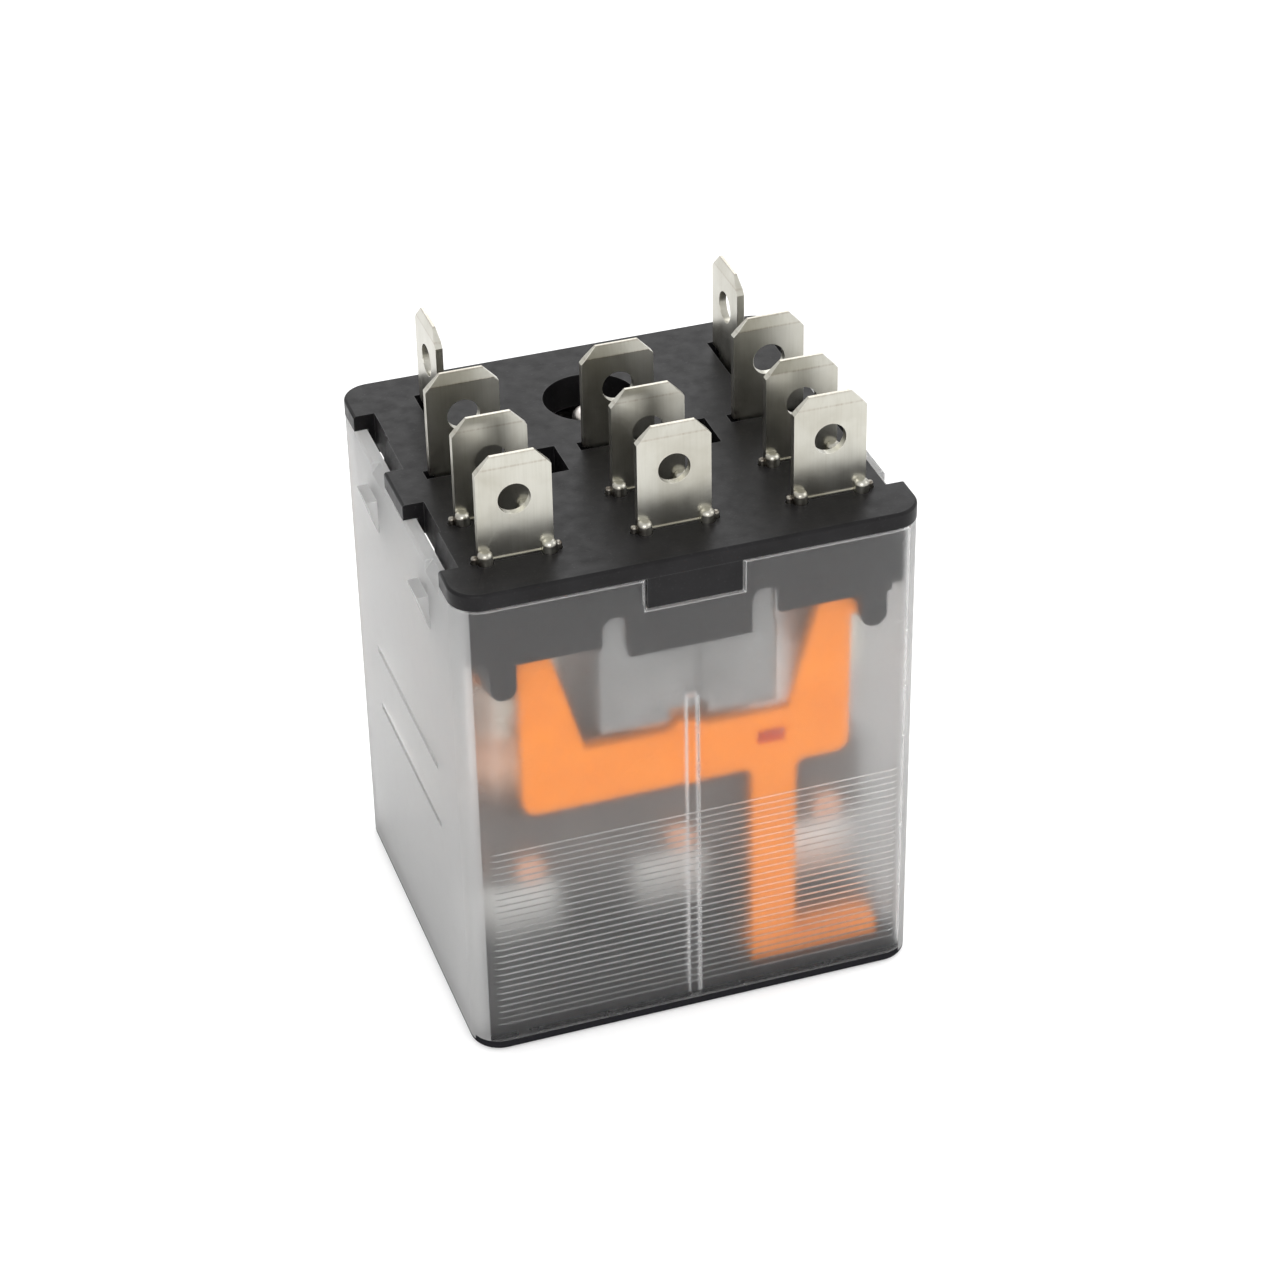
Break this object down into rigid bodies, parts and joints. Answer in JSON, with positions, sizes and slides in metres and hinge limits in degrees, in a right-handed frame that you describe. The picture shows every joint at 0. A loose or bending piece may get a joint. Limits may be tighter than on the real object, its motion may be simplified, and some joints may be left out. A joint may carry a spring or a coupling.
{
  "type": "plug-in relay",
  "caption": "Plug-in power relay with flat quick-connect tabs on a dark base, a frosted clear cover, and an orange lever that shows the armature's position.",
  "frame": {"origin": "centre of the closed end's flat face, which the relay stands on with its tabs up", "axes": "+Z from the closed end towards the tabs, -Y towards the front face with the lever and the base's key, +X to the right across the poles"},
  "size_m": [0.0318, 0.0276, 0.0424],
  "materials": {
    "clear_cover": "frosted clear polycarbonate",
    "black_plastic": "matte",
    "base_plastic": "slightly glossy moulded plastic",
    "grey_plastic": "matte",
    "orange_plastic": "satin",
    "bobbin_plastic": "satin",
    "plated_steel": "zinc plated",
    "tinned_brass": "tin plated",
    "silver_contact": "satin",
    "blade_bronze": "rolled strip",
    "copper": "satin",
    "copper_braid": "woven",
    "copper_wire": "enamelled",
    "coil_tape": "polyester tape",
    "spring_steel": "drawn wire"
  },
  "bodies": {
    "root": {"cover": "clear_cover", "marking_plate": "base_plastic", "base": "base_plastic", "yoke": "plated_steel", "core": "plated_steel", "bobbin": "bobbin_plastic", "coil_winding": "copper_wire", "coil_tape": "coil_tape", "return_spring": "spring_steel", "arc_shield": "grey_plastic", "coil_terminal_left": "tinned_brass", "coil_terminal_right": "tinned_brass", "coil_lead_left": "copper_wire", "coil_lead_right": "copper_wire", "open_terminal_1": "tinned_brass", "closed_terminal_1": "tinned_brass", "common_terminal_1": "tinned_brass", "open_contact_1": "silver_contact", "closed_contact_1": "silver_contact", "braid_1": "copper_braid", "open_terminal_2": "tinned_brass", "closed_terminal_2": "tinned_brass", "common_terminal_2": "tinned_brass", "open_contact_2": "silver_contact", "closed_contact_2": "silver_contact", "braid_2": "copper_braid", "open_terminal_3": "tinned_brass", "closed_terminal_3": "tinned_brass", "common_terminal_3": "tinned_brass", "open_contact_3": "silver_contact", "closed_contact_3": "silver_contact", "braid_3": "copper_braid"},
    "armature_assembly": {"armature": "plated_steel", "contact_carrier": "black_plastic", "spring_rivets": "copper", "moving_blade_1": "blade_bronze", "moving_blade_2": "blade_bronze", "moving_blade_3": "blade_bronze", "moving_contact_1": "silver_contact", "moving_contact_2": "silver_contact", "moving_contact_3": "silver_contact"},
    "lever": {"indicator_lever": "orange_plastic"}
  },
  "joints": [
    {"name": "armature_tilt", "type": "hinge", "parent": "root", "child": "armature_assembly", "pos_m": [0, -0.0012, 0.0046], "axis": [1, 0, 0], "range_deg": [0, 3.4], "stiffness_Nm_per_rad": 0.005, "springref_deg": -28.65, "deforming": ["return_spring", "braid_1", "braid_2", "braid_3"]},
    {"name": "indicator_swing", "type": "hinge", "parent": "root", "child": "lever", "pos_m": [0, -0.01105, 0.0277], "axis": [1, 0, 0], "range_deg": [-1.43, 0]}
  ],
  "couplings": [
    {"joint": "indicator_swing", "follows": "armature_tilt", "ratio": -0.417}
  ]
}
